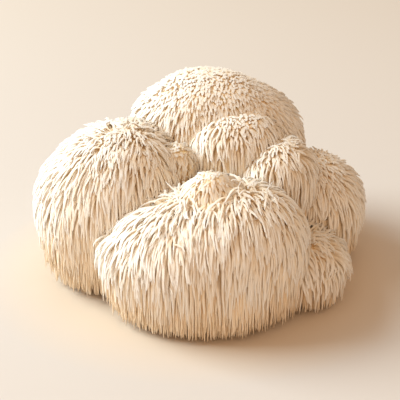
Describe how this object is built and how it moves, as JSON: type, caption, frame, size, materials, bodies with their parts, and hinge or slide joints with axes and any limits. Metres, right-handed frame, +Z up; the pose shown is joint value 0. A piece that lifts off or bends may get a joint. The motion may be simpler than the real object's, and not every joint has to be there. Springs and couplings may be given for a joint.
{
  "type": "lion's mane mushroom",
  "caption": "Clustered lion's mane mushroom: rounded cream lobes hung with soft pointed spines, resting on a flat cut underside.",
  "frame": {"origin": "middle of the body's box, on the surface that it rests on", "axes": "+X to the body's right and along its longest side, -Y towards its front, +Z up"},
  "size_m": [0.166, 0.1494, 0.0921],
  "materials": {
    "mushroom_flesh": "matte"
  },
  "bodies": {
    "root": {"fruiting_body": "mushroom_flesh"}
  },
  "joints": []
}
